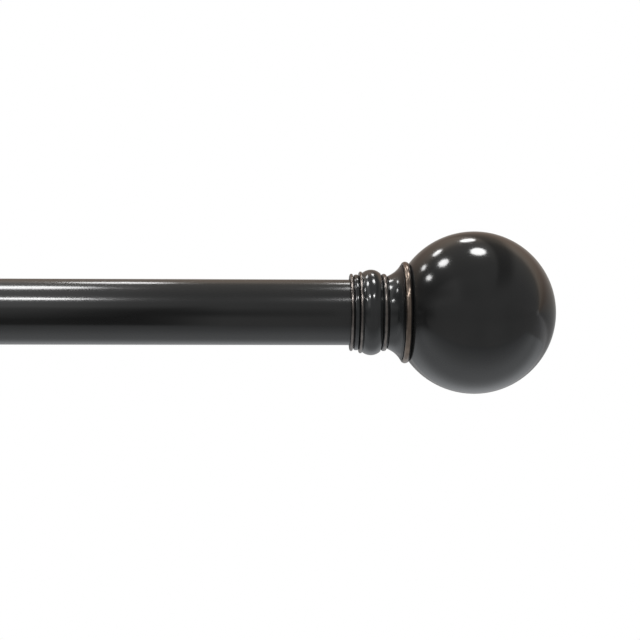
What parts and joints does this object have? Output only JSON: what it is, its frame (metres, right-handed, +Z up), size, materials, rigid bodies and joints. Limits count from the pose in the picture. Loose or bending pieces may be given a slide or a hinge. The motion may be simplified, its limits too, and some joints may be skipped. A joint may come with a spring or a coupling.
{
  "type": "curtain rod with brackets",
  "caption": "Telescoping round curtain rod with ball finials on turned collars, lying in open cradles on adjustable wall brackets.",
  "frame": {"origin": "on the wall plane at the centre of the four wall screw holes, midway between the brackets and level with the rod's axis", "axes": "+X along the rod towards the finial on the outer tube, +Y into the wall, +Z up"},
  "size_m": [0.9722, 0.1205, 0.078],
  "materials": {
    "rod_finish": "glossy near-black paint",
    "ball_finish": "cast resin in glossy near-black paint",
    "collar_finish": "near-black paint, rubbed to bronze on the crests of its rings",
    "bracket_finish": "near-black paint",
    "knob_finish": "near-black paint, worn on the flutes",
    "nylon": "moulded nylon",
    "zinc_steel": "bright zinc plate"
  },
  "bodies": {
    "wall_side": {"right_wall_plate": "bracket_finish", "right_arm_sleeve": "bracket_finish", "right_sleeve_bolt": "zinc_steel", "left_wall_plate": "bracket_finish", "left_arm_sleeve": "bracket_finish", "left_sleeve_bolt": "zinc_steel"},
    "outer_rod": {"outer_tube": "rod_finish", "mouth_bushing": "nylon", "right_end_plug": "nylon", "right_thread_insert": "zinc_steel"},
    "inner_rod": {"inner_tube": "rod_finish", "inner_glide": "nylon", "left_end_plug": "nylon", "left_thread_insert": "zinc_steel"},
    "right_arm": {"right_arm_bar": "bracket_finish", "right_cradle": "bracket_finish", "right_cradle_bolt": "zinc_steel"},
    "right_rod_pad": {"right_rod_pad": "nylon"},
    "right_rod_screw": {"right_rod_screw": "knob_finish"},
    "right_lock_pad": {"right_lock_pad": "nylon"},
    "right_lock_screw": {"right_lock_screw": "knob_finish"},
    "right_collar": {"right_collar": "collar_finish"},
    "right_ball": {"right_ball": "ball_finish", "right_finial_stud": "zinc_steel"},
    "left_arm": {"left_arm_bar": "bracket_finish", "left_cradle": "bracket_finish", "left_cradle_bolt": "zinc_steel"},
    "left_rod_pad": {"left_rod_pad": "nylon"},
    "left_rod_screw": {"left_rod_screw": "knob_finish"},
    "left_lock_pad": {"left_lock_pad": "nylon"},
    "left_lock_screw": {"left_lock_screw": "knob_finish"},
    "left_collar": {"left_collar": "collar_finish"},
    "left_ball": {"left_ball": "ball_finish", "left_finial_stud": "zinc_steel"}
  },
  "joints": [
    {"name": "right_projection", "type": "slide", "parent": "wall_side", "child": "right_arm", "axis": [0, -1, 0], "range_m": [0, 0.0254]},
    {"name": "left_projection", "type": "slide", "parent": "wall_side", "child": "left_arm", "axis": [0, -1, 0], "range_m": [0, 0.0254]},
    {"name": "rod_lift", "type": "slide", "parent": "right_arm", "child": "outer_rod", "axis": [0, 0, 1], "range_m": [0, 0.05]},
    {"name": "rod_extend", "type": "slide", "parent": "outer_rod", "child": "inner_rod", "axis": [-1, 0, 0], "range_m": [-0.102, 0.406]},
    {"name": "right_collar_travel", "type": "slide", "parent": "outer_rod", "child": "right_collar", "axis": [1, 0, 0], "range_m": [0, 0.01]},
    {"name": "right_ball_turn", "type": "hinge", "parent": "right_collar", "child": "right_ball", "pos_m": [0.4065, -0.089, 0], "axis": [1, 0, 0], "range_deg": [0, 2880]},
    {"name": "left_collar_travel", "type": "slide", "parent": "inner_rod", "child": "left_collar", "axis": [-1, 0, 0], "range_m": [0, 0.01]},
    {"name": "left_ball_turn", "type": "hinge", "parent": "left_collar", "child": "left_ball", "pos_m": [-0.4065, -0.089, 0], "axis": [-1, 0, 0], "range_deg": [0, 2880]},
    {"name": "right_rod_pad_travel", "type": "slide", "parent": "right_arm", "child": "right_rod_pad", "axis": [0, 0, -1], "range_m": [0, 0.0032]},
    {"name": "right_rod_screw_turn", "type": "hinge", "parent": "right_rod_pad", "child": "right_rod_screw", "pos_m": [0.2245, -0.089, 0], "axis": [0, 0, -1], "range_deg": [0, 1440]},
    {"name": "right_lock_pad_travel", "type": "slide", "parent": "wall_side", "child": "right_lock_pad", "axis": [0, 0, -1], "range_m": [0, 0.0032]},
    {"name": "right_lock_screw_turn", "type": "hinge", "parent": "right_lock_pad", "child": "right_lock_screw", "pos_m": [0.2245, -0.047, 0], "axis": [0, 0, -1], "range_deg": [0, 1440]},
    {"name": "left_rod_pad_travel", "type": "slide", "parent": "left_arm", "child": "left_rod_pad", "axis": [0, 0, -1], "range_m": [0, 0.0032]},
    {"name": "left_rod_screw_turn", "type": "hinge", "parent": "left_rod_pad", "child": "left_rod_screw", "pos_m": [-0.2245, -0.089, 0], "axis": [0, 0, -1], "range_deg": [0, 1440]},
    {"name": "left_lock_pad_travel", "type": "slide", "parent": "wall_side", "child": "left_lock_pad", "axis": [0, 0, -1], "range_m": [0, 0.0032]},
    {"name": "left_lock_screw_turn", "type": "hinge", "parent": "left_lock_pad", "child": "left_lock_screw", "pos_m": [-0.2245, -0.047, 0], "axis": [0, 0, -1], "range_deg": [0, 1440]}
  ],
  "couplings": [
    {"joint": "left_projection", "follows": "right_projection", "ratio": 1},
    {"joint": "right_collar_travel", "follows": "right_ball_turn", "m_per_rad": 0.00019894},
    {"joint": "left_collar_travel", "follows": "left_ball_turn", "m_per_rad": 0.00019894},
    {"joint": "right_rod_screw_turn", "follows": "right_rod_pad_travel", "rad_per_m": 7854},
    {"joint": "right_lock_screw_turn", "follows": "right_lock_pad_travel", "rad_per_m": 7854},
    {"joint": "left_rod_screw_turn", "follows": "left_rod_pad_travel", "rad_per_m": 7854},
    {"joint": "left_lock_screw_turn", "follows": "left_lock_pad_travel", "rad_per_m": 7854}
  ]
}
